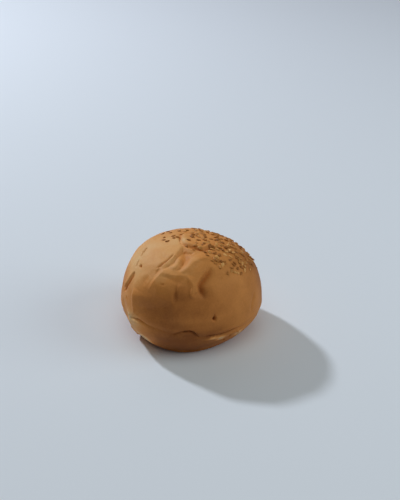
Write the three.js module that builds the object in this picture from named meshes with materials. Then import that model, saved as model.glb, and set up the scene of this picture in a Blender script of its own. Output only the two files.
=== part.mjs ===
// A soft round bread roll with sesame seeds on its crown.
// Millimetres, +Z up. The origin is on the floor, under the middle of the roll's bounding box.
// The roll is one baked piece with a small flat foot, and each seed is a piece of its own on the crust.
import * as THREE from "three";

// Driving dimensions of the roll, in millimetres.
const WIDEST_RADIUS = 50; // radius of the widest ring
const WIDEST_HEIGHT = 23; // height of the widest ring over the floor
const CROWN_RISE = 43.8; // from the widest ring up to the top
const FOOT_RADIUS = 36.5; // radius of the flat foot
const CROWN_FULLNESS = 0.69; // 1 is a ball, and less is flatter on top with fuller shoulders
const FLANK_FULLNESS = 2; // how long the flank stays wide before it runs in to the foot
const FLANK_DROP = 1.04; // how evenly the flank's rows go down to the foot

// The roll isn't quite round: three soft corners, a slight oval, and a crown that leans a little.
const THREE_CORNERS = 0.036; // share of the radius
const OVAL = 0.011; // share of the radius
const CROWN_LEAN = new THREE.Vector2(0.9, -2); // how far the top sits off the foot's centre

// The crease that runs round the roll where the dough spread over its paler foot.
// Each pair is an azimuth in degrees and the crease's height there.
const CREASE_LINE = [
  [5, 17],
  [60, 19],
  [90, 19],
  [140, 17],
  [185, 18],
  [200, 20],
  [212, 22.5],
  [220, 24.8],
  [233, 25.8],
  [252, 24.5],
  [270, 21.5],
  [286, 18.5],
  [312, 17.5],
  [345, 17],
];
const CREASE_DEPTH = 1.1;
const CREASE_HALF_WIDTH = 1.9;
const BAND_RECESS = 0.7; // how far the band under the crease stands back
const BAND_FADE_HEIGHT = 6; // the recess fades out below this height

// Hollows and folds in the crust, each along a smooth line of azimuth and latitude pairs, in degrees.
// A negative depth is a ridge.
const MARKS = [
  {
    name: "crease across the top",
    depth: 1.5,
    halfWidth: 2.2,
    line: [[155, 86], [252, 87], [295, 83], [337, 77]],
  },
  {
    name: "swell behind the crease",
    depth: -1.1,
    halfWidth: 4,
    line: [[228, 89], [310, 86], [330, 83], [347, 80]],
  },
  {
    name: "lip of the crease",
    depth: -0.5,
    halfWidth: 2,
    line: [[190, 83], [262, 81], [300, 77], [330, 75]],
  },
  {
    name: "front valley",
    depth: 1.9,
    halfWidth: 3,
    line: [[303, 65], [292, 57], [283, 49], [281, 42], [284, 33]],
  },
  {
    name: "tongue beside it",
    depth: -1.1,
    halfWidth: 2.6,
    line: [[284, 61], [276, 53], [273, 42], [276, 33]],
  },
  {
    name: "left valley",
    depth: 1.9,
    halfWidth: 3.2,
    line: [[256, 81], [262, 75], [262, 70], [258, 64], [252, 59]],
  },
  {
    name: "ridge between the valleys",
    depth: -1.2,
    halfWidth: 3,
    line: [[286, 74], [272, 70], [265, 63], [263, 56]],
  },
  {
    name: "ridge left of the left valley",
    depth: -0.8,
    halfWidth: 2.6,
    line: [[247, 77], [252, 69], [248, 61]],
  },
  {
    name: "slanting wrinkle",
    depth: 0.9,
    halfWidth: 2.2,
    line: [[233, 77], [234, 67], [230, 57], [227, 47]],
  },
  {
    name: "ridge under the wrinkle",
    depth: -0.7,
    halfWidth: 1.8,
    line: [[235, 58], [233, 48], [230, 38]],
  },
  {
    name: "left groove",
    depth: 1.9,
    halfWidth: 2.8,
    line: [[180, 56], [194, 47], [202, 37], [198, 18]],
  },
  {
    name: "left edge of the front",
    depth: -0.9,
    halfWidth: 3,
    line: [[214, 30], [217, 17], [222, 6]],
  },
  {
    name: "hollow at the front",
    depth: 1.1,
    halfWidth: 5,
    line: [[218, 20], [232, 24], [246, 32]],
  },
  {
    name: "front dent",
    depth: 1.1,
    halfWidth: 2.2,
    line: [[260, 46], [258, 31]],
  },
  {
    name: "lip at the foot",
    depth: -1.2,
    halfWidth: 2.2,
    line: [[235, -62], [255, -70], [284, -71], [310, -62]],
  },
  {
    name: "back hollow",
    depth: 1.4,
    halfWidth: 5.5,
    line: [[128, 56], [115, 46], [106, 38], [98, 30]],
  },
  {
    name: "back wrinkle",
    depth: 0.9,
    halfWidth: 2.2,
    line: [[152, 44], [143, 34], [138, 14]],
  },
];

// Rows and columns of the roll's mesh: the rows lie closer together beside the crease.
const COLUMNS = 112;
const FOOT_ROWS = 6;
const CREASE_ROWS = 15;
const CROWN_ROWS = 31;
const CREASE_ZONE = [13, 29]; // heights between which the crease runs

// A sesame seed, flat and pointed at one end, and how the seeds lie.
const SEED_LENGTH = 3;
const SEED_WIDTH = 1.9;
const SEED_THICKNESS = 0.9;
const SEED_POINT = 0.42; // how much narrower the pointed end is
const SEED_GAP = 0.3; // between a seed and the crust
const SEED_SPACING = 3.9; // least distance between the middles of two seeds
const SEED_COLUMNS = 8;
const SEED_ROWS = 5;
const RANDOM_START = 20;

// Where the seeds lie: one wide patch on the right and back of the crown, and small stray groups.
// Each has its middle, how far it spreads along the crust, and how many seeds it holds.
const SEED_GROUPS = [
  { azimuth: 130, latitude: 67, spread: 5, count: 3 },
  { azimuth: 155, latitude: 79, spread: 6, count: 4 },
  { azimuth: 100, latitude: 77, spread: 6, count: 3 },
  { azimuth: 50, latitude: 84, spread: 8, count: 5 },
  { azimuth: 12, latitude: 70, spread: 27, count: 44 },
];

const DEGREE = Math.PI / 180;

// Radius and height of the roll's outline at a latitude, from -90 degrees at the foot to 90 at the top.
function outline(latitude) {
  const across = Math.max(Math.cos(latitude), 0);
  const along = Math.abs(Math.sin(latitude));
  if (latitude >= 0) {
    return {
      radius: WIDEST_RADIUS * across ** CROWN_FULLNESS,
      height: WIDEST_HEIGHT + CROWN_RISE * along,
    };
  }
  return {
    radius: FOOT_RADIUS + (WIDEST_RADIUS - FOOT_RADIUS) * across ** FLANK_FULLNESS,
    height: WIDEST_HEIGHT * (1 - along ** FLANK_DROP),
  };
}

// The latitude at which the outline has a height: the reverse of outline().
function latitudeAtHeight(height) {
  if (height >= WIDEST_HEIGHT) {
    return Math.asin(Math.min((height - WIDEST_HEIGHT) / CROWN_RISE, 1));
  }
  return -Math.asin(Math.min((1 - height / WIDEST_HEIGHT) ** (1 / FLANK_DROP), 1));
}

// A point on the smooth form of the roll, before any crease or hollow.
function formPoint(azimuth, latitude) {
  const { radius, height } = outline(latitude);
  const roundness = 1 + THREE_CORNERS * Math.cos(3 * azimuth) - OVAL * Math.sin(2 * azimuth);
  const lean = Math.max(height - WIDEST_HEIGHT, 0) / CROWN_RISE;
  return new THREE.Vector3(
    radius * roundness * Math.cos(azimuth) + CROWN_LEAN.x * lean,
    radius * roundness * Math.sin(azimuth) + CROWN_LEAN.y * lean,
    height,
  );
}

// The outward direction of a surface given by a function of azimuth and latitude.
function outwardAt(surface, azimuth, latitude) {
  const step = 0.4 * DEGREE;
  const lower = Math.max(latitude - step, -Math.PI / 2);
  const upper = Math.min(latitude + step, Math.PI / 2 - 0.5 * step);
  const east = surface(azimuth + step, Math.min(latitude, upper)).sub(
    surface(azimuth - step, Math.min(latitude, upper)),
  );
  const north = surface(azimuth, upper).sub(surface(azimuth, Math.min(lower, upper - step)));
  return east.cross(north).normalize();
}

// Points along a smooth line through azimuth and latitude pairs, laid on the smooth form.
function lineOnForm(pairs, closed = false) {
  const knots = pairs.map(([azimuth, latitude]) => formPoint(azimuth * DEGREE, latitude * DEGREE));
  return new THREE.CatmullRomCurve3(knots, closed).getPoints(12 * pairs.length);
}

const creaseKnots = CREASE_LINE.map(([azimuth, height]) => [
  azimuth,
  latitudeAtHeight(height) / DEGREE,
]);
const creasePoints = lineOnForm(creaseKnots, true);
const markLines = MARKS.map((mark) => ({ ...mark, points: lineOnForm(mark.line) }));

// How far a point is from a line of points, and how far along the line its nearest point lies, 0 to 1.
function nearestOn(points, place) {
  const distances = points.map((point) => point.distanceTo(place));
  const distance = Math.min(...distances);
  const index = distances.indexOf(distance);
  return { distance, along: index / (points.length - 1), point: points[index] };
}

// How far the crust is pressed in at a place on the smooth form.
function pressedIn(place) {
  const crease = nearestOn(creasePoints, place);
  const bell = Math.exp(-((crease.distance / CREASE_HALF_WIDTH) ** 2));
  const below = THREE.MathUtils.smoothstep(crease.point.z - place.z, 0, CREASE_HALF_WIDTH);
  const aboveFoot = THREE.MathUtils.smoothstep(place.z, 0, BAND_FADE_HEIGHT);
  let depth = (CREASE_DEPTH * bell + BAND_RECESS * below) * aboveFoot;
  for (const mark of markLines) {
    const { distance, along } = nearestOn(mark.points, place);
    const ends = 0.35 + 0.65 * Math.sin(Math.PI * along);
    depth += mark.depth * ends * Math.exp(-((distance / mark.halfWidth) ** 2));
  }
  return depth;
}

// A point on the crust, with its creases and hollows.
function crustPoint(azimuth, latitude) {
  const place = formPoint(azimuth, latitude);
  const outward = outwardAt(formPoint, azimuth, latitude);
  return place.addScaledVector(outward, -pressedIn(place));
}

// The latitude of a row on the crown, for rows as evenly spaced as those of a ball.
function crownLatitude(elevation) {
  return Math.acos(Math.cos(elevation) ** (1 / CROWN_FULLNESS));
}

// The latitudes of the mesh's rows, from the foot's edge up to just under the top.
function rowLatitudes() {
  const [zoneLow, zoneHigh] = CREASE_ZONE.map(latitudeAtHeight);
  const crownStart = Math.acos(Math.cos(zoneHigh) ** CROWN_FULLNESS);
  const stretch = (from, to, count) =>
    Array.from({ length: count }, (_, i) => from + ((to - from) * i) / count);
  return [
    ...stretch(-Math.PI / 2, zoneLow, FOOT_ROWS),
    ...stretch(zoneLow, zoneHigh, CREASE_ROWS),
    ...stretch(crownStart, Math.PI / 2, CROWN_ROWS).map(crownLatitude),
  ];
}

// The roll's closed surface: rings from the foot to the crown, a flat foot and a point at the top.
function rollGeometry() {
  const positions = [];
  const latitudes = rowLatitudes();
  for (const latitude of latitudes) {
    for (let column = 0; column < COLUMNS; column++) {
      const azimuth = (2 * Math.PI * column) / COLUMNS;
      const point = crustPoint(azimuth, latitude);
      const onFoot = latitude === latitudes[0];
      positions.push(point.x, point.y, onFoot ? 0 : Math.max(point.z, 0));
    }
  }
  const footCentre = positions.length / 3;
  positions.push(0, 0, 0);
  const top = footCentre + 1;
  const summit = formPoint(0, Math.PI / 2);
  positions.push(summit.x, summit.y, summit.z - pressedIn(summit));

  const faces = [];
  const lastRow = (latitudes.length - 1) * COLUMNS;
  for (let column = 0; column < COLUMNS; column++) {
    const next = (column + 1) % COLUMNS;
    faces.push(footCentre, next, column);
    for (let row = 0; row < lastRow; row += COLUMNS) {
      faces.push(row + column, row + next, row + COLUMNS + next);
      faces.push(row + column, row + COLUMNS + next, row + COLUMNS + column);
    }
    faces.push(lastRow + column, lastRow + next, top);
  }
  const geometry = new THREE.BufferGeometry();
  geometry.setAttribute("position", new THREE.Float32BufferAttribute(positions, 3));
  geometry.setIndex(faces);
  geometry.computeVertexNormals();
  return geometry;
}

// One seed lying flat, with its point along +X.
function seedGeometry() {
  const geometry = new THREE.SphereGeometry(1, SEED_COLUMNS, SEED_ROWS);
  geometry.rotateZ(-Math.PI / 2);
  const position = geometry.getAttribute("position");
  for (let i = 0; i < position.count; i++) {
    const along = position.getX(i);
    const taper = 1 - SEED_POINT * Math.max(along, 0);
    position.setXYZ(
      i,
      (SEED_LENGTH / 2) * along,
      (SEED_WIDTH / 2) * taper * position.getY(i),
      (SEED_THICKNESS / 2) * position.getZ(i),
    );
  }
  geometry.computeVertexNormals();
  return geometry;
}

// A repeatable source of random numbers from 0 to 1.
function randomSource(start) {
  let state = start;
  return () => {
    state = (state + 0x6d2b79f5) | 0;
    let mixed = Math.imul(state ^ (state >>> 15), state | 1);
    mixed ^= mixed + Math.imul(mixed ^ (mixed >>> 7), mixed | 61);
    return ((mixed ^ (mixed >>> 14)) >>> 0) / 2 ** 32;
  };
}

// The places of all seeds: a random scatter round the middle of each group, never too close together.
function seedPlaces(random) {
  const places = [];
  for (const group of SEED_GROUPS) {
    const middle = formPoint(group.azimuth * DEGREE, group.latitude * DEGREE);
    let placed = 0;
    while (placed < group.count) {
      const azimuth = 2 * Math.PI * random();
      const latitude = Math.asin(random());
      const point = crustPoint(azimuth, latitude);
      const inGroup = point.distanceTo(middle) < group.spread;
      const clear = places.every((other) => other.point.distanceTo(point) > SEED_SPACING);
      if (inGroup && clear) {
        places.push({ azimuth, latitude, point });
        placed += 1;
      }
    }
  }
  return places;
}

function makeRoll() {
  const material = new THREE.MeshStandardMaterial({
    color: 0xb98048,
    roughness: 0.62,
    metalness: 0,
  });
  const roll = new THREE.Mesh(rollGeometry(), material);
  roll.name = "bread_roll";
  return roll;
}

// How far the crust round a place rises over the plane that touches it there, within a seed's reach.
function riseUnderSeed(place, outward) {
  const aroundAxis = SEED_LENGTH / 2 / Math.hypot(place.point.x, place.point.y);
  const upwards = SEED_LENGTH / 2 / (WIDEST_RADIUS + CROWN_RISE / 2);
  let rise = 0;
  for (let turn = 0; turn < 2 * Math.PI; turn += Math.PI / 4) {
    const azimuth = place.azimuth + aroundAxis * Math.cos(turn);
    const latitude = Math.min(place.latitude + upwards * Math.sin(turn), Math.PI / 2);
    const near = crustPoint(azimuth, latitude);
    rise = Math.max(rise, near.sub(place.point).dot(outward));
  }
  return rise;
}

// A seed flat on the crust at a place, turned at random about the crust's outward direction.
function makeSeed(index, place, random) {
  const material = new THREE.MeshStandardMaterial({
    color: 0xc79a5b,
    roughness: 0.5,
    metalness: 0,
  });
  const seed = new THREE.Mesh(seedGeometry(), material);
  seed.name = `sesame_seed_${String(index + 1).padStart(2, "0")}`;
  const outward = outwardAt(crustPoint, place.azimuth, place.latitude);
  const standOff = SEED_GAP + SEED_THICKNESS / 2 + riseUnderSeed(place, outward);
  seed.position.copy(place.point).addScaledVector(outward, standOff);
  seed.quaternion.setFromUnitVectors(new THREE.Vector3(0, 0, 1), outward);
  seed.rotateZ(2 * Math.PI * random());
  return seed;
}

const random = randomSource(RANDOM_START);
const pieces = new THREE.Group();
pieces.add(makeRoll());
seedPlaces(random).forEach((place, index) => pieces.add(makeSeed(index, place, random)));

// The origin is under the middle of the bounding box, so the pieces move over it together.
const box = new THREE.Box3().setFromObject(pieces, true);
const boxMiddle = box.getCenter(new THREE.Vector3());
pieces.position.set(-boxMiddle.x, -boxMiddle.y, 0);

const group = new THREE.Group();
group.add(pieces);

export default group;
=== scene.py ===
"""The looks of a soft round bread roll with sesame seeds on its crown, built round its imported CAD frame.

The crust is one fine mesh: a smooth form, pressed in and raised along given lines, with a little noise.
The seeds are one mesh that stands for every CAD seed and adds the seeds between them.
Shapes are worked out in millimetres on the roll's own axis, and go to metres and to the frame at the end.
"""

import math

import bpy
import numpy as np
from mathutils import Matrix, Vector, kdtree, noise


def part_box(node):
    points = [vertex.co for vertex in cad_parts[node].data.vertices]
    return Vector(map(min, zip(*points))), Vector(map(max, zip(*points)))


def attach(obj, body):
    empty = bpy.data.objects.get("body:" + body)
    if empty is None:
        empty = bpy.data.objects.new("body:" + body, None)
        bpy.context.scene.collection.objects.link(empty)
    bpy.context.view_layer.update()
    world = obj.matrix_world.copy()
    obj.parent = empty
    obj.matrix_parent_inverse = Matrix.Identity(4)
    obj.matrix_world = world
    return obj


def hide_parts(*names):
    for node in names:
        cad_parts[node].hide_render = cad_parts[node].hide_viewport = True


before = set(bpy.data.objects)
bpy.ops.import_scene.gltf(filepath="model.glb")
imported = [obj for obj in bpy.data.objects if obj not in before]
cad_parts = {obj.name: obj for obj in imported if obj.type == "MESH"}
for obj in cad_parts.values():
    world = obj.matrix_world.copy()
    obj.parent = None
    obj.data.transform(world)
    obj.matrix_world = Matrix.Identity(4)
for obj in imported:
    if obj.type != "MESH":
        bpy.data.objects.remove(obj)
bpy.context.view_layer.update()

MM = 0.001

# The roll's smooth form, in millimetres.
WIDEST_RADIUS = 50.0
WIDEST_HEIGHT = 23.0
CROWN_RISE = 43.8
FOOT_RADIUS = 36.5
CROWN_FULLNESS = 0.69  # 1 is a ball, and less is flatter on top with fuller shoulders
FLANK_FULLNESS = 2.0
FLANK_DROP = 1.04
THREE_CORNERS = 0.036  # share of the radius
OVAL = 0.011  # share of the radius
CROWN_LEAN = (0.9, -2.0)  # how far the top sits off the foot's centre

# The crust's mesh: squares along each edge of the cube that is blown up into the roll.
GRID = 128
WIDEST_ELEVATION = math.radians(-4.6)  # seen from the roll's middle
FOOT_ELEVATION = math.radians(-36.5)

# The camera, in millimetres.
CAMERA_PLACE = (7.7, -546.0, 362.0)  # from the middle of the roll's foot
CAMERA_PITCH = 29.0  # degrees below the horizon
CAMERA_LENS = 64.8
SENSOR_WIDTH = 36.0

# Lights, each aimed at the roll's foot: name, azimuth and elevation in degrees, distance and width in
# metres, power in watts, and colour.
LIGHTS = [
    ("key", 135.4, 37.7, 1.8, 0.14, 19.8, (0.765, 0.86, 1.0)),
    ("fill", -8, 30, 1.3, 0.85, 4.9, (0.77, 0.90, 1.0)),
    ("overhead", 275, 73, 1.6, 1.6, 6.1, (0.91, 1.0, 0.98)),
    ("back", 90, 40, 2.0, 1.8, 2.3, (0.75, 0.75, 1.0)),
]
WORLD_COLOUR = (0.89, 0.93, 1.0)
WORLD_STRENGTH = 0.09


# ---------------------------------------------------------------- the form

def form(azimuth, latitude):
    """Points on the smooth form. Latitude runs from -90 degrees at the foot's edge to 90 at the top."""
    across = np.maximum(np.cos(latitude), 0.0)
    along = np.abs(np.sin(latitude))
    crown = latitude >= 0
    flank_radius = FOOT_RADIUS + (WIDEST_RADIUS - FOOT_RADIUS) * across**FLANK_FULLNESS
    radius = np.where(crown, WIDEST_RADIUS * across**CROWN_FULLNESS, flank_radius)
    crown_height = WIDEST_HEIGHT + CROWN_RISE * along
    height = np.where(crown, crown_height, WIDEST_HEIGHT * (1 - along**FLANK_DROP))
    radius = radius * (1 + THREE_CORNERS * np.cos(3 * azimuth) - OVAL * np.sin(2 * azimuth))
    lean = np.maximum(height - WIDEST_HEIGHT, 0) / CROWN_RISE
    x = radius * np.cos(azimuth) + CROWN_LEAN[0] * lean
    y = radius * np.sin(azimuth) + CROWN_LEAN[1] * lean
    return np.stack([x, y, height], -1)


def latitude_at(height):
    """The latitude at which the form has a height."""
    if height >= WIDEST_HEIGHT:
        return math.asin(min((height - WIDEST_HEIGHT) / CROWN_RISE, 1))
    return -math.asin(min((1 - height / WIDEST_HEIGHT) ** (1 / FLANK_DROP), 1))


def ball_grid(cells):
    """Even directions over a ball, as six square patches that share their edges, and the squares between."""
    ramp = np.tan(np.linspace(-1, 1, cells + 1) * math.pi / 4)
    u, v = np.meshgrid(ramp, ramp, indexing="ij")
    one = np.ones_like(u)
    patches = [(one, u, v), (-one, v, u), (v, one, u), (u, -one, v), (u, v, one), (v, u, -one)]
    points = np.concatenate([np.stack(patch, -1).reshape(-1, 3) for patch in patches])
    points /= np.linalg.norm(points, axis=1, keepdims=True)
    side = cells + 1
    corner = (np.arange(cells)[:, None] * side + np.arange(cells)[None, :]).ravel()
    square = np.stack([corner, corner + side, corner + side + 1, corner + 1], -1)
    squares = np.concatenate([square + patch * side * side for patch in range(6)])
    points, index = np.unique(np.round(points, 6), axis=0, return_inverse=True)
    return points, index.reshape(-1)[squares]


def blown_up(directions):
    """The form's points for directions from the roll's middle, with even steps and a flat foot."""
    azimuth = np.arctan2(directions[:, 1], directions[:, 0])
    elevation = np.arcsin(np.clip(directions[:, 2], -1, 1))
    upward = np.clip((elevation - WIDEST_ELEVATION) / (math.pi / 2 - WIDEST_ELEVATION), 0, 1)
    downward = np.clip((WIDEST_ELEVATION - elevation) / (WIDEST_ELEVATION - FOOT_ELEVATION), 0, 1)
    crown_latitude = np.arccos(np.cos(upward * math.pi / 2) ** (1 / CROWN_FULLNESS))
    latitude = np.where(elevation >= WIDEST_ELEVATION, crown_latitude, -np.arcsin(downward))
    points = form(azimuth, latitude)
    inward = np.clip((elevation + math.pi / 2) / (FOOT_ELEVATION + math.pi / 2), 0, 1)
    points[:, :2] *= np.where(elevation < FOOT_ELEVATION, inward, 1.0)[:, None]
    return points


def point_normals(points, squares):
    """Outward directions at the points of a mesh of squares."""
    a, b, c, d = (points[squares[:, i]] for i in range(4))
    face = np.cross(c - a, d - b)
    total = np.zeros_like(points)
    for i in range(4):
        np.add.at(total, squares[:, i], face)
    return total / np.linalg.norm(total, axis=1, keepdims=True)


# ---------------------------------------------------------------- marks on the crust

CORNER_CUTS = 4  # rounds of corner cutting that make a line smooth
SHARE_AT_ENDS = 0.4  # how wide a groove still is at its ends, as a share of its width
LIFT_DECAY = 1.3  # how suddenly a lifted side dies away: 1 is evenly, and more is later and faster
GROOVE_REACH = 4  # how many half widths from its line a groove or pit is followed
LIFT_REACH = 2.5  # how many times its own reach a lifted side is followed
PIT_SHARPNESS = 1.5  # 1 is a soft bowl, and more is flatter inside with steeper sides


def on_form(knots):
    """Knots of azimuth and latitude, in degrees, as points on the form."""
    pairs = np.radians(np.array(knots, float))
    return form(pairs[:, 0], pairs[:, 1])


def smooth_line(points, closed=False):
    """The line through points with its corners cut again and again, until it is smooth."""
    for _ in range(CORNER_CUTS):
        following = np.roll(points, -1, 0)
        first = 0.75 * points + 0.25 * following
        second = 0.25 * points + 0.75 * following
        cut = np.stack([first, second], 1).reshape(-1, 3)
        points = cut if closed else np.concatenate([points[:1], cut[:-2], points[-1:]])
    return points


def beside(line, points, normals, reach):
    """Which points lie within reach of a line, how far off they are, on which side, and how far along."""
    low, high = line.min(0) - reach, line.max(0) + reach
    near = np.flatnonzero(((points > low) & (points < high)).all(1))
    best = np.full(len(near), np.inf)
    index = np.zeros(len(near), int)
    for i, place in enumerate(line):
        distance = ((points[near] - place) ** 2).sum(1)
        closer = distance < best
        best[closer] = distance[closer]
        index[closer] = i
    tangent = np.gradient(line, axis=0)[index]
    offset = points[near] - line[index]
    left = np.cross(normals[near], tangent)
    side = (offset * left).sum(1) / np.maximum(np.linalg.norm(left, axis=1), 1e-9)
    return near, np.sqrt(best), side, index / max(len(line) - 1, 1)


def smooth_step(value, low, high):
    """0 up to low, 1 from high on, and a smooth rise between them."""
    share = np.clip((value - low) / (high - low), 0, 1)
    return share * share * (3 - 2 * share)


def ends(along, soft):
    """Fades a mark in and out at the two ends of its line."""
    return smooth_step(along, 0, soft) * smooth_step(1 - along, 0, soft)


def mark(relief, points, normals, knots, depth=0.0, width=1.0, sharp=2.0, left=0.0, right=0.0, fall=1.0,
         reach=6.0, soft=0.3):
    """Presses a groove of a depth and half width into the relief along knots; a negative depth is a ridge.

    Left and right lift the crust on that side of the line, as seen from outside. It rises over fall
    millimetres from the line and dies away over reach millimetres beyond that. Soft is the share of
    the line over which each of its ends fades out.
    """
    line = smooth_line(on_form(knots))
    widest = max(GROOVE_REACH * width, fall + LIFT_REACH * reach if left or right else 0)
    near, distance, side, along = beside(line, points, normals, widest)
    fade = ends(along, soft)
    narrow = width * (SHARE_AT_ENDS + (1 - SHARE_AT_ENDS) * fade)
    height = -depth * np.exp(-((distance / narrow) ** sharp))
    for lift, off in ((left, side), (right, -side)):
        if lift:
            rise = np.clip(off / fall, 0, 1)
            beyond = np.maximum(distance - fall, 0) / reach
            height += lift * rise * np.exp(-(beyond**LIFT_DECAY))
    relief[near] += fade * height


def pit(relief, points, place, depth, across, down):
    """Presses a small pit into the relief, sized in millimetres; a negative depth is a bump."""
    middle = on_form([place])[0]
    azimuth = math.radians(place[0])
    near = np.flatnonzero(np.linalg.norm(points - middle, axis=1) < GROOVE_REACH * max(across, down))
    offset = points[near] - middle
    sideways = offset @ np.array([-math.sin(azimuth), math.cos(azimuth), 0])
    rest = np.sqrt(np.maximum((offset**2).sum(1) - sideways**2, 0))
    relief[near] -= depth * np.exp(-((sideways / across) ** 2 + (rest / down) ** 2) ** PIT_SHARPNESS)


def noise_at(points, wavelength, pattern):
    """Smooth noise from about -1 to 1, one value for each point. Each pattern number gives another noise."""
    shift = Vector((17.3 * pattern, 5.1 * pattern, 9.7 * pattern))
    return np.array([noise.noise(Vector(p) / wavelength + shift) for p in points])


# Each mark: knots of azimuth and latitude in degrees, then its sizes in millimetres.
MARKS = [
    # The arched tear over the waist crease, at the front: thin on its left, and open on its right.
    dict(knots=[(258, -2), (262, 1), (266, 3), (271, 3.5), (275, 1), (277, -5), (278, -11)], depth=1.0,
         width=0.5, soft=0.2),
    dict(knots=[(265, 2), (268, 3), (272, 3), (275, 0), (277, -7)], depth=1.2, width=0.8, left=0.6, fall=0.8,
         reach=2.5),
    # The left shoulder: a short cut, two fine lines under it, and a deep fold with a nick beside it.
    dict(knots=[(175, 60), (180, 57), (187, 52)], depth=1.3, width=0.8, sharp=1.5),
    dict(knots=[(179, 55), (182, 58)], depth=0.7, width=0.6),
    dict(knots=[(198, 44), (195, 47), (191, 50)], depth=0.9, width=0.6),
    dict(knots=[(197, 16), (200, 22), (202, 29), (203, 35), (201, 41)], depth=2.4, width=1.1, left=1.2,
         right=-0.3, fall=0.5, reach=4, soft=0.3),
    dict(knots=[(186, 18), (192, 18), (198, 19), (202, 20)], depth=1.8, width=0.8),
    # The edge where the left flank turns into the front, and the hollow in front of it.
    dict(knots=[(221, 6), (218, 11), (216, 17), (214, 23), (213, 30)], right=1.2, fall=2.6, reach=9),
    dict(knots=[(214, 23), (222, 27), (230, 29), (238, 32), (246, 36), (254, 38)], right=-1.5, fall=8,
         reach=7),
    # The fold across the top: a crease with a low lip before it, and a swell behind it where the seeds are.
    dict(knots=[(120, 81), (134, 85), (155, 86), (209, 87), (252, 87), (280, 86), (295, 83), (305, 80),
                (318, 80), (330, 79), (337, 77)],
         depth=1.3, width=0.7, left=1.5, right=0.5, fall=2.6, reach=6, soft=0.12),
    dict(knots=[(225, 86), (257, 85), (283, 82), (297, 80), (311, 79), (330, 78)], depth=-0.5, width=0.8),
    dict(knots=[(250, 83), (262, 81), (280, 79)], depth=1.0, width=1.1),
    # The slanting wrinkle: a fine line, a hollow under it, and a step that runs on from it and faces left,
    # with a small hollow and a lower step to its right.
    dict(knots=[(228, 57), (231, 62), (234, 68), (235, 74), (234, 77)], depth=1.3, width=0.7, sharp=1.5,
         right=0.6, fall=0.7, reach=2.5),
    dict(knots=[(231, 50), (232, 55), (232, 60), (232, 64)], depth=0.7, width=0.9, soft=0.45),
    dict(knots=[(229, 36), (231, 43), (233, 50), (235, 57), (237, 63)], depth=-0.1, width=1.2, right=1.6,
         fall=2.4, reach=8, soft=0.4),
    dict(knots=[(238, 59), (240, 62), (243, 66)], depth=0.5, width=0.8),
    dict(knots=[(236, 55), (244, 56), (252, 55), (259, 56), (266, 57)], depth=-0.1, width=1.2, right=-0.9,
         fall=2.4, reach=4, soft=0.45),
    # The valley with a ridge on its left and a crest on its right. A lobe hangs to the right of the crest,
    # with a steep right edge, and ends in a tongue. A shallow dent lies left of the tongue, and a short low
    # ridge right of the lobe.
    dict(knots=[(243, 85), (253, 81), (262, 76), (262, 70.5), (259, 65), (253, 60)], depth=2.1, width=2.8,
         soft=0.4),
    dict(knots=[(247, 77), (251, 72), (252, 67), (248, 61)], depth=-0.9, width=2.4, soft=0.4),
    dict(knots=[(240, 64), (240, 71), (239, 77), (234, 83), (222, 86)], right=-1.6, fall=2.0, reach=4.5,
         soft=0.3),
    dict(knots=[(312, 73), (298, 74), (285, 74), (275, 72), (268, 69), (264, 64), (263, 58)], depth=-1.1,
         width=2.6, left=1.1, fall=2.5, reach=6, soft=0.25),
    dict(knots=[(281, 31), (278, 38), (276.5, 44), (277, 48), (280, 52), (285, 56), (290, 60), (296, 64)],
         depth=-0.15, width=1.2, right=-3.6, fall=2.5, reach=2.6, soft=0.25),
    dict(knots=[(279, 32), (274, 33), (270.5, 35), (269.5, 38), (270.8, 42), (271.4, 45), (270, 49),
                (267, 53), (263, 58)],
         depth=-0.2, width=0.9, right=1.5, fall=1.3, reach=4.5),
    dict(knots=[(259, 33), (258, 37), (258, 42), (258, 48)], depth=0.3, width=1.3, right=0.6, fall=1.2,
         reach=5),
    dict(knots=[(305, 48), (312, 49), (318, 48)], depth=-0.35, width=1.0),
    # The cracked skin at the right end of the front crease, torn and lifted below the crack.
    dict(knots=[(285, -12), (290, -14), (296, -16), (302, -15), (308, -13), (315, -12)], depth=1.7, width=0.6,
         sharp=1.5, right=1.1, fall=0.8, reach=2.2, soft=0.2),
    dict(knots=[(307, -34), (308, -27), (306, -20)], depth=0.8, width=0.5),
    dict(knots=[(317, -32), (316, -24), (313, -18)], depth=-0.7, width=0.7),
    # The lip at the foot's front.
    dict(knots=[(232, -60), (246, -66), (258, -70), (270, -72), (284, -71), (298, -66), (312, -60)],
         depth=-1.5, width=1.7, soft=0.5),
    # The left flank: drawn in at the waist, and fuller by the foot.
    dict(knots=[(201, -40), (206, -49), (212, -60)], depth=-1.9, width=4.5, soft=0.3),
    dict(knots=[(198, 10), (203, 2), (208, -6), (211, -14)], depth=1.3, width=6.0, soft=0.4),
    # The hidden back and right side.
    dict(knots=[(128, 56), (115, 46), (106, 38), (98, 30)], depth=1.5, width=4.5, soft=0.4),
    dict(knots=[(138, 14), (139, 24), (143, 34), (152, 44)], depth=1.0, width=0.7, right=0.5, fall=0.8,
         reach=4),
    dict(knots=[(72, 30), (66, 22), (64, 12)], depth=0.9, width=2.0, soft=0.4),
    dict(knots=[(54, 8), (42, 9), (30, 14)], depth=0.8, width=0.8, left=0.4, fall=0.8, reach=3),
    dict(knots=[(328, 4), (330, 12), (336, 20)], depth=0.7, width=1.6, soft=0.4),
]

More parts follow.
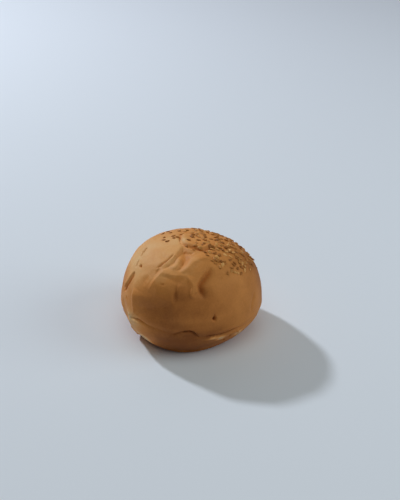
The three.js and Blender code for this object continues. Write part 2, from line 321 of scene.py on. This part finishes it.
# Each pit: its azimuth and latitude in degrees, then its depth, half width and half height in millimetres.
PITS = [
    ((204, 49), 2.2, 1.5, 0.9),
    ((291, 12), 3.4, 1.2, 1.5),
    ((291, 15), 1.0, 0.5, 1.2),
    ((206, 15), 1.2, 0.6, 0.7),
    ((303, -38), 2.6, 1.0, 0.9),
    ((215, 2), -0.8, 1.8, 1.2),
    ((258, 35.5), 0.8, 1.4, 3.0),
    ((244, 45), 0.6, 1.3, 0.6),
    ((96, 12), 1.5, 0.8, 1.1),
    ((158, 38), 1.4, 0.8, 0.8),
    ((20, 24), 1.0, 0.8, 0.8),
]

# The crease round the waist: azimuth in degrees, then its height and depth in millimetres.
CREASE = [
    (5, 17, 0.6), (30, 18, 1.2), (60, 19, 0.7), (90, 19, 1.6), (115, 18, 1.3), (140, 17, 0.6), (165, 17, 1.4),
    (185, 18, 1.0), (200, 20, 0.2), (212, 22.5, 0.1), (219, 24.6, 1.0), (226, 25.6, 1.5), (233, 25.8, 0.9),
    (242, 25.4, 0.5), (252, 24.5, 0.3), (264, 22.5, 0.2), (276, 20, 0.3), (286, 18.5, 0.8), (300, 17.5, 1.0),
    (312, 17.5, 0.8), (325, 17.5, 0.4), (345, 17, 0.3),
]

# Paler and browner parts of the crust, some of them painted shade and sheen: the azimuth of their middle and
# their spread in degrees, their lowest and highest point in millimetres, and how much browner they are.
BAKE_AND_PAINTED_LIGHT_REGIONS = [
    # Paler on the lit upper left: the crust's own paler colour, and partly painted sheen.
    (190, 60, 48, 80, -0.34),
    (265, 75, 0, 60, 0.06),
    (206, 16, 22, 52, -0.14),
    # Painted shade: the front left, turned away from the lights, painted browner.
    (251, 24, 24, 51, 0.26),
    # Painted shade in the valley left of the tongue.
    (264, 7, 46, 57, 0.16),
    (285, 22, 34, 52, 0.12),
    (272, 28, 55, 66, -0.05),
    # Browner band under the front crease, partly painted shade.
    (262, 44, 0, 22, 0.46),
    (282, 30, 21, 31, 0.18),
    (356, 18, 24, 56, 0.28),
    # Paler and greyer lower left flank: pale crust, and partly painted bluish light thrown up from the floor.
    (220, 17, 4, 27, -0.48),
    (213, 3.5, 21, 26, -0.22),
    (298, 4, 12, 16, -0.85),
    (290, 5, 15, 17, -0.6),
    (317, 4, 10, 14, -0.65),
    (230, 7, 4, 13, -0.5),
    (60, 60, 0, 20, -0.20),
    (140, 50, 0, 24, -0.15),
]


# The crease's profile: a fine groove in a wider hollow, a lip under it and a swell over it, in millimetres.
# The groove, hollow and lip are shares of the crease's depth.
CREASE_REACH = 40  # far enough to find the crease's nearest point everywhere beside it
CREASE_FADES_BELOW = 7
GROOVE_WIDTH = 0.6
GROOVE_SHARPNESS = 1.5
HOLLOW_SHARE = 0.35
HOLLOW_WIDTH = 2.2
LIP_SHARE = 0.3
LIP_OFFSET = -2.2
LIP_WIDTH = 1.5
SWELL_HEIGHT = 0.25
SWELL_OFFSET = 3.5
SWELL_WIDTH = 2.5

# The foot's rounded edge, in millimetres.
EDGE_POINTS = 240
EDGE_REACH = 8
EDGE_DEPTH = 0.7
EDGE_WIDTH = 1.6

# The crumpled part of the front: its middle in degrees, and how far and deep it goes in millimetres.
CRUMPLE_PLACE = (240, 52)
CRUMPLE_SPREAD = 20
CRUMPLE_DEPTH = 0.9
CRUMPLE_WAVELENGTH = 9

# Waves all over the crust: height and wavelength in millimetres.
BROAD_WAVE = (0.6, 24)
MIDDLE_WAVE = (0.22, 9)
FINE_WAVE = (0.04, 2.5)
FOOT_FADE = (0.5, 5)  # heights over which the waves set in above the foot

# Fine lines in the skin of the crown, in millimetres.
SKIN_DEPTH = 0.16
SKIN_WAVELENGTH = 13
SKIN_BEND = 2.2  # how far the broad waves shift the lines
SKIN_LINE = 0.22  # how wide the lines are, as a share of the noise's range
SKIN_HEIGHTS = (26, 40)  # heights over which the lines set in
SKIN_PATCHES = 30  # how large the patches with lines are
SKIN_PATCH_EDGE = (-0.15, 0.35)  # values of the patches' noise over which the lines set in


def waist_crease(relief, points, normals):
    """Presses the crease round the waist into the relief."""
    knots = [(azimuth, math.degrees(latitude_at(height))) for azimuth, height, _ in CREASE]
    line = smooth_line(on_form(knots), closed=True)
    near, distance, side, _ = beside(line, points, normals, CREASE_REACH)
    spots = np.degrees(np.arctan2(points[near, 1], points[near, 0])) % 360
    depth = np.interp(spots, [each[0] for each in CREASE], [each[2] for each in CREASE], period=360)
    depth = depth * smooth_step(points[near, 2], 0, CREASE_FADES_BELOW)
    relief[near] -= depth * np.exp(-((distance / GROOVE_WIDTH) ** GROOVE_SHARPNESS))
    relief[near] -= HOLLOW_SHARE * depth * np.exp(-((distance / HOLLOW_WIDTH) ** 2))
    relief[near] += LIP_SHARE * depth * np.exp(-(((side - LIP_OFFSET) / LIP_WIDTH) ** 2))
    relief[near] += SWELL_HEIGHT * np.exp(-(((side - SWELL_OFFSET) / SWELL_WIDTH) ** 2))


def foot_edge(relief, points, normals):
    """Rounds the edge between the flank and the flat foot."""
    edge = form(np.linspace(0, 2 * math.pi, EDGE_POINTS, endpoint=False), np.full(EDGE_POINTS, -math.pi / 2))
    near, distance, _, _ = beside(edge, points, normals, EDGE_REACH)
    relief[near] -= EDGE_DEPTH * np.exp(-((distance / EDGE_WIDTH) ** 2))


def crust_waves(relief, points):
    """Adds the crumpled front, the waves all over the crust, and the fine lines in the crown's skin."""
    crumpled = form(*np.radians(CRUMPLE_PLACE))
    nearness = np.exp(-((np.linalg.norm(points - crumpled, axis=1) / CRUMPLE_SPREAD) ** 2))
    relief -= CRUMPLE_DEPTH * nearness * np.abs(noise_at(points, CRUMPLE_WAVELENGTH, pattern=21))
    off_foot = smooth_step(points[:, 2], *FOOT_FADE)
    broad = noise_at(points, BROAD_WAVE[1], pattern=1)
    relief += off_foot * BROAD_WAVE[0] * broad
    relief += off_foot * MIDDLE_WAVE[0] * noise_at(points, MIDDLE_WAVE[1], pattern=2)
    skin = 1 - np.abs(noise_at(points + SKIN_BEND * broad[:, None], SKIN_WAVELENGTH, pattern=6)) / SKIN_LINE
    on_crown = smooth_step(points[:, 2], *SKIN_HEIGHTS)
    patches = smooth_step(noise_at(points, SKIN_PATCHES, pattern=8), *SKIN_PATCH_EDGE)
    relief -= on_crown * SKIN_DEPTH * np.clip(skin, 0, 1) ** 2 * patches
    relief += off_foot * FINE_WAVE[0] * noise_at(points, FINE_WAVE[1], pattern=4)


def crust_relief(points, normals):
    """How far the crust stands proud of the smooth form at each point."""
    relief = np.zeros(len(points))
    for each in MARKS:
        mark(relief, points, normals, **each)
    for place, depth, across, down in PITS:
        pit(relief, points, place, depth, across, down)
    waist_crease(relief, points, normals)
    foot_edge(relief, points, normals)
    crust_waves(relief, points)
    return relief


EVEN_BAKE = 0.52  # how brown the crust is, from 0 to 1, away from the regions above
REGION_EDGE = 0.25  # how softly a region starts and ends, as a share of its height
BROAD_BLOTCH = (0.10, 28)  # strength, and size in millimetres
SMALL_BLOTCH = (0.05, 9)
HOLLOW_PAINTED_SHADE = 0.12  # how much darker the deepest hollows are painted, as painted shade
DEEPEST_HOLLOW = 2.5  # millimetres


def crust_bake_and_painted_light(points, relief):
    """How brown the crust is at each point, with painted shade and sheen, from 0 where it is palest to 1
    where it is darkest.
    """
    azimuth = np.degrees(np.arctan2(points[:, 1], points[:, 0])) % 360
    height = points[:, 2]
    bake_and_painted_light = np.full(len(points), EVEN_BAKE)
    for middle, spread, low, high, amount in BAKE_AND_PAINTED_LIGHT_REGIONS:
        apart = np.abs((azimuth - middle + 180) % 360 - 180)
        share = np.exp(-((apart / spread) ** 2))
        rim = REGION_EDGE * (high - low)
        share *= smooth_step(height, low - rim, low + rim) * smooth_step(-height, -high - rim, -high + rim)
        bake_and_painted_light += amount * share
    broad = BROAD_BLOTCH[0] * noise_at(points, BROAD_BLOTCH[1], pattern=11)
    bake_and_painted_light += broad + SMALL_BLOTCH[0] * noise_at(points, SMALL_BLOTCH[1], pattern=12)
    # Painted shade: the deepest hollows are painted darker.
    bake_and_painted_light += HOLLOW_PAINTED_SHADE * np.clip(-relief / DEEPEST_HOLLOW, 0, 1)
    return np.clip(bake_and_painted_light, 0, 1)


def build_mesh(name, points, squares):
    """A smooth-shaded object from points in millimetres and the squares between them."""
    mesh = bpy.data.meshes.new(name)
    mesh.from_pydata((points * MM).tolist(), [], squares.tolist())
    mesh.polygons.foreach_set("use_smooth", np.ones(len(mesh.polygons), bool))
    mesh.update()
    piece = bpy.data.objects.new(name, mesh)
    bpy.context.scene.collection.objects.link(piece)
    return piece


def add_attribute(piece, name, values):
    """Stores one value for each of a piece's points, for its material to read."""
    attribute = piece.data.attributes.new(name, "FLOAT", "POINT")
    attribute.data.foreach_set("value", np.asarray(values, np.float32))


# ---------------------------------------------------------------- seeds

# A sesame seed, in millimetres.
SEED_LENGTH = 3.5
SEED_WIDTH = 2.15
SEED_THICKNESS = 1.05
SEED_TAPER = 0.34  # how much narrower the pointed end is, and wider the other
SEED_SHARPNESS = 0.12  # how much narrower both ends are
SEED_RIDGE = 0.25  # how much thinner a seed is beside the ridge along its back
SEED_COLUMNS = 14
SEED_ROWS = 9

# How the seeds lie, least and most where there are two values.
SEED_SINK = (0.1, 0.5)
SEED_SPACING = 2.05
SEED_SIZES = (0.8, 1.1)
SEED_BREADTHS = (0.85, 1.08)
SEED_TILT = 0.17  # how far a seed leans out of the crust's own slope, as a share of its upright
SEED_TRIES = 6000  # places tried for a group's added seeds before it is left as it is
RANDOM_START = 7

# The seeds' tones run from 0 at the darkest to 1 at the palest. The stray ones on the left are darker.
TONE_SPREAD = (1.3, 2.0)  # the two shape numbers of a beta spread
STRAYS_LEFT_OF = -8
STRAY_TONE = 0.35  # share of the tone that a stray seed keeps

# The crust round a seed sinks a little and is painted darker there, as painted shade.
DIMPLE_WIDTH = 1.9
DIMPLE_DEPTH = 0.15
DIMPLE_PAINTED_SHADE = 0.10

# Seeds besides those of the CAD: the azimuth and latitude of a group's middle, in degrees, how far it
# spreads, and how many seeds it adds.
ADDED_SEEDS = [
    (155, 79, 6, 2),
    (80, 80, 9, 4),
    (336, 64, 15, 40),
    (12, 70, 27, 54),
    (40, 64, 26, 26),
    (12, 70, 31, 10),
]


def seed_shape():
    """One seed lying flat with its point along +X: a flattened drop with a low ridge along its back."""
    rings = []
    for row in range(SEED_ROWS + 1):
        polar = math.pi * row / SEED_ROWS
        along = math.cos(polar)
        girth = math.sin(polar) * (1 - SEED_TAPER * along - SEED_SHARPNESS * along * along)
        for column in range(SEED_COLUMNS):
            turn = 2 * math.pi * column / SEED_COLUMNS
            y = girth * math.cos(turn)
            z = girth * math.sin(turn) * (1 - SEED_RIDGE * abs(math.cos(turn)))
            rings.append((along * SEED_LENGTH / 2, y * SEED_WIDTH / 2, z * SEED_THICKNESS / 2))
    squares = []
    for row in range(SEED_ROWS):
        for column in range(SEED_COLUMNS):
            following = (column + 1) % SEED_COLUMNS
            a, b = row * SEED_COLUMNS + column, row * SEED_COLUMNS + following
            squares.append((a, a + SEED_COLUMNS, b + SEED_COLUMNS, b))
    return np.array(rings), np.array(squares)


def cad_seed_pose(node, shift):
    """Middle and long direction of a CAD seed, in millimetres on the roll's axis."""
    points = np.array([v.co for v in node.data.vertices]) / MM - shift
    middle = points.mean(0)
    _, _, axes = np.linalg.svd(points - middle)
    return middle, axes[0]


def seed_names():
    return sorted(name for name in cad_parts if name.startswith("sesame_seed"))


def seed_poses(points, random, shift):
    """Each seed's place, as the index of a point on the crust, and the way it points.

    The CAD's seeds come first, then the added ones.
    """
    tree = kdtree.KDTree(len(points))
    for index, point in enumerate(points):
        tree.insert(point, index)
    tree.balance()
    poses = []
    for name in seed_names():
        middle, along = cad_seed_pose(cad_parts[name], shift)
        poses.append((tree.find(middle)[1], along))
    for azimuth, latitude, spread, count in ADDED_SEEDS:
        middle = form(np.radians(azimuth), np.radians(latitude))
        inside = np.flatnonzero(np.linalg.norm(points - middle, axis=1) < spread)
        placed = 0
        for _ in range(SEED_TRIES):
            if placed == count:
                break
            index = int(random.choice(inside))
            if all(np.linalg.norm(points[index] - points[other]) > SEED_SPACING for other, _ in poses):
                poses.append((index, random.normal(size=3)))
                placed += 1
    return poses


def make_seeds(poses, points, squares, random, shift):
    """All seeds as one mesh, each turned, sized and sunk a little differently."""
    normals = point_normals(points, squares)
    shape, faces = seed_shape()
    all_points, all_faces, tones = [], [], []
    for number, (index, along) in enumerate(poses):
        up = normals[index] + random.normal(scale=SEED_TILT, size=3)
        up /= np.linalg.norm(up)
        across = np.cross(up, along)
        across /= np.linalg.norm(across)
        forward = np.cross(across, up)
        size = random.uniform(*SEED_SIZES)
        scaled = shape * np.array([size, size * random.uniform(*SEED_BREADTHS), size])
        turned = scaled @ np.stack([forward, across, up])
        centre = points[index] + up * (SEED_THICKNESS / 2 - random.uniform(*SEED_SINK))
        all_points.append(turned + centre)
        all_faces.append(faces + number * len(shape))
        tone = random.beta(*TONE_SPREAD) * (STRAY_TONE if points[index, 0] < STRAYS_LEFT_OF else 1)
        tones.append(np.full(len(shape), tone))
    seeds = build_mesh("sesame_seeds", np.concatenate(all_points) + shift, np.concatenate(all_faces))
    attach(seeds, "root")
    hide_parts(*seed_names())
    add_attribute(seeds, "tone", np.concatenate(tones))
    seeds.data.materials.append(seed_material())


def round_seeds(points, poses):
    """How close each point of the crust is to a seed, from 0 away from them to 1 under one."""
    tree = kdtree.KDTree(len(poses))
    for number, (index, _) in enumerate(poses):
        tree.insert(points[index], number)
    tree.balance()
    near = np.zeros(len(points))
    for index in np.flatnonzero(points[:, 2] > WIDEST_HEIGHT):
        near[index] = math.exp(-((tree.find(points[index])[2] / DIMPLE_WIDTH) ** 2))
    return near


def main():
    """Builds the crust and the seeds in place of the CAD nodes, and the stage round them."""
    directions, squares = ball_grid(GRID)
    base = blown_up(directions)
    normals = point_normals(base, squares)
    relief = crust_relief(base, normals)
    low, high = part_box("bread_roll")
    shift = np.array([
        (low.x + high.x) / 2 / MM - (base[:, 0].min() + base[:, 0].max()) / 2,
        (low.y + high.y) / 2 / MM - (base[:, 1].min() + base[:, 1].max()) / 2,
        low.z / MM,
    ])
    random = np.random.RandomState(RANDOM_START)
    points = base + normals * relief[:, None]
    poses = seed_poses(points, random, shift)
    seeded = round_seeds(points, poses)
    points -= normals * DIMPLE_DEPTH * seeded[:, None]
    points[:, 2] = np.maximum(points[:, 2], 0.0)
    crust = build_mesh("crust", points + shift, squares)
    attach(crust, "root")
    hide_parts("bread_roll")
    crust.data.materials.append(crust_material())
    # The crust's colour, with painted shade round the seeds and in the hollows, and painted shade and sheen
    # in some regions.
    add_attribute(crust, "bake_and_painted_light", np.clip(crust_bake_and_painted_light(points, relief) + DIMPLE_PAINTED_SHADE * seeded, 0, 1))
    make_seeds(poses, points, squares, random, shift)
    make_stage(shift)


# ---------------------------------------------------------------- materials

# Base colours from the palest crust to the darkest, and from the darkest seed to the palest.
CRUST_COLOURS = [
    (0.0, (0.62, 0.41, 0.21)),
    (0.14, (0.82, 0.470, 0.195)),
    (0.3, (0.79, 0.378, 0.124)),
    (0.5, (0.68, 0.260, 0.060)),
    (0.75, (0.49, 0.172, 0.037)),
    (1.0, (0.28, 0.087, 0.018)),
]
SEED_COLOURS = [
    (0.0, (0.29, 0.092, 0.010)),
    (0.4, (0.50, 0.190, 0.036)),
    (0.7, (0.74, 0.350, 0.090)),
    (1.0, (0.91, 0.470, 0.15)),
]


def new_material(name):
    """A material with nothing but a shader and its output."""
    material = bpy.data.materials.new(name)
    material.use_nodes = True
    tree = material.node_tree
    tree.nodes.clear()
    output = tree.nodes.new("ShaderNodeOutputMaterial")
    shader = tree.nodes.new("ShaderNodeBsdfPrincipled")
    tree.links.new(shader.outputs["BSDF"], output.inputs["Surface"])
    return material, tree, shader


def add_node(tree, kind, links=None, **settings):
    """A node with its sockets set by name, and linked from other nodes' sockets."""
    node = tree.nodes.new(kind)
    for name, value in settings.items():
        setattr(node, name, value)
    for name, value in (links or {}).items():
        if isinstance(value, bpy.types.NodeSocket):
            tree.links.new(value, node.inputs[name])
        else:
            node.inputs[name].default_value = value
    return node


def add_ramp(tree, factor, stops):
    """A colour ramp through stops of a place and a colour."""
    node = add_node(tree, "ShaderNodeValToRGB", {"Fac": factor})
    elements = node.color_ramp.elements
    while len(elements) < len(stops):
        elements.new(0.5)
    for element, (place, colour) in zip(elements, stops):
        element.position = place
        element.color = (*colour, 1)
    return node.outputs["Color"]


def add_noise(tree, millimetres, detail, roughness=0.5):
    """Noise whose blotches are about this many millimetres wide."""
    where = add_node(tree, "ShaderNodeTexCoord").outputs["Object"]
    settings = {"Vector": where, "Scale": 1 / (millimetres * MM), "Detail": detail, "Roughness": roughness}
    return add_node(tree, "ShaderNodeTexNoise", settings).outputs["Fac"]


def add_math(tree, operation, first, second):
    """A sum on two values, each a number or another node's socket."""
    node = add_node(tree, "ShaderNodeMath", operation=operation)
    for socket, value in zip(node.inputs, (first, second)):
        if isinstance(value, bpy.types.NodeSocket):
            tree.links.new(value, socket)
        else:
            socket.default_value = value
    return node.outputs["Value"]


def add_mottle(tree, millimetres, detail, strength):
    """Noise round zero, from minus to plus half its strength."""
    centred = add_math(tree, "SUBTRACT", add_noise(tree, millimetres, detail), 0.5)
    return add_math(tree, "MULTIPLY", centred, strength)


def add_roughness(tree, shader, pattern, smoothest, roughest):
    """Roughness that follows a pattern between two values."""
    settings = {"Value": pattern, "To Min": smoothest, "To Max": roughest}
    spread = add_node(tree, "ShaderNodeMapRange", settings)
    tree.links.new(spread.outputs["Result"], shader.inputs["Roughness"])


def crust_material():
    """Baked skin with blotches, specks, fine wrinkles and pores, as brown as the mesh's attribute says, which
    also carries painted shade and sheen.
    """
    material, tree, shader = new_material("crust")
    bake_and_painted_light = add_node(tree, "ShaderNodeAttribute", attribute_name="bake_and_painted_light").outputs["Fac"]
    blotches = add_mottle(tree, 11, 4.0, strength=0.28)
    specks = add_mottle(tree, 1.3, 3.0, strength=0.16)
    browning_and_painted_light = add_math(tree, "ADD", bake_and_painted_light, add_math(tree, "ADD", blotches, specks))
    colour = add_ramp(tree, browning_and_painted_light, CRUST_COLOURS)
    tree.links.new(colour, shader.inputs["Base Color"])
    add_roughness(tree, shader, add_noise(tree, 4, 3.0), 0.5, 0.68)
    shader.inputs["Specular IOR Level"].default_value = 0.15
    wrinkles = add_node(tree, "ShaderNodeBump", {"Height": add_noise(tree, 2.2, 5.0, 0.6), "Strength": 0.35,
                                                 "Distance": 0.35 * MM})
    pores = add_node(tree, "ShaderNodeBump", {"Height": add_noise(tree, 0.45, 2.0), "Strength": 0.25,
                                              "Distance": 0.12 * MM, "Normal": wrinkles.outputs["Normal"]})
    tree.links.new(pores.outputs["Normal"], shader.inputs["Normal"])
    return material


def seed_material():
    """Toasted sesame: each seed has its own tone, with a little mottling and a faintly rough husk."""
    material, tree, shader = new_material("sesame")
    tone = add_node(tree, "ShaderNodeAttribute", attribute_name="tone").outputs["Fac"]
    mottle = add_mottle(tree, 0.9, 3.0, strength=0.7)
    colour = add_ramp(tree, add_math(tree, "ADD", tone, mottle), SEED_COLOURS)
    tree.links.new(colour, shader.inputs["Base Color"])
    add_roughness(tree, shader, add_noise(tree, 0.6, 2.0), 0.4, 0.6)
    shader.inputs["Specular IOR Level"].default_value = 0.2
    husk = add_node(tree, "ShaderNodeBump", {"Height": add_noise(tree, 0.35, 2.0), "Strength": 0.3,
                                             "Distance": 0.08 * MM})
    tree.links.new(husk.outputs["Normal"], shader.inputs["Normal"])
    return material


# ---------------------------------------------------------------- stage

FLOOR_HALF = 4.0  # metres
FLOOR_COLOUR = (0.8, 0.8, 0.8)


def make_floor():
    mesh = bpy.data.meshes.new("floor")
    corners = [(x * FLOOR_HALF, y * FLOOR_HALF, 0) for x, y in ((-1, -1), (1, -1), (1, 1), (-1, 1))]
    mesh.from_pydata(corners, [], [(0, 1, 2, 3)])
    floor = bpy.data.objects.new("floor", mesh)
    bpy.context.scene.collection.objects.link(floor)
    material, _, shader = new_material("floor")
    shader.inputs["Base Color"].default_value = (*FLOOR_COLOUR, 1)
    shader.inputs["Roughness"].default_value = 0.9
    shader.inputs["Specular IOR Level"].default_value = 0.1
    mesh.materials.append(material)


def make_world():
    world = bpy.data.worlds.new("studio")
    world.use_nodes = True
    background = world.node_tree.nodes["Background"]
    background.inputs["Color"].default_value = (*WORLD_COLOUR, 1)
    background.inputs["Strength"].default_value = WORLD_STRENGTH
    bpy.context.scene.world = world


def make_light(name, azimuth, elevation, distance, size, power, colour, aim):
    """A round soft light at a distance from the place it is aimed at."""
    light = bpy.data.lights.new(name, "AREA")
    light.shape = "DISK"
    light.size = size
    light.energy = power
    light.color = colour
    azimuth, elevation = math.radians(azimuth), math.radians(elevation)
    level = math.cos(elevation)
    toward = Vector((level * math.cos(azimuth), level * math.sin(azimuth), math.sin(elevation)))
    lamp = bpy.data.objects.new(name, light)
    lamp.location = aim + toward * distance
    lamp.rotation_mode = "QUATERNION"
    lamp.rotation_quaternion = toward.to_track_quat("Z", "Y")
    bpy.context.scene.collection.objects.link(lamp)


def make_camera(foot):
    lens = bpy.data.cameras.new("camera")
    lens.lens = CAMERA_LENS
    lens.sensor_width = SENSOR_WIDTH
    camera = bpy.data.objects.new("camera", lens)
    camera.location = foot + Vector(CAMERA_PLACE) * MM
    camera.rotation_euler = (math.radians(90 - CAMERA_PITCH), 0, 0)
    bpy.context.scene.collection.objects.link(camera)
    bpy.context.scene.camera = camera


def make_stage(shift):
    """A plain pale floor, soft studio lights and the camera, placed round the middle of the roll's foot."""
    bpy.context.scene.view_settings.view_transform = "Standard"
    foot = Vector((shift[0], shift[1], 0)) * MM
    make_floor()
    make_world()
    for light in LIGHTS:
        make_light(*light, aim=foot)
    make_camera(foot)


main()
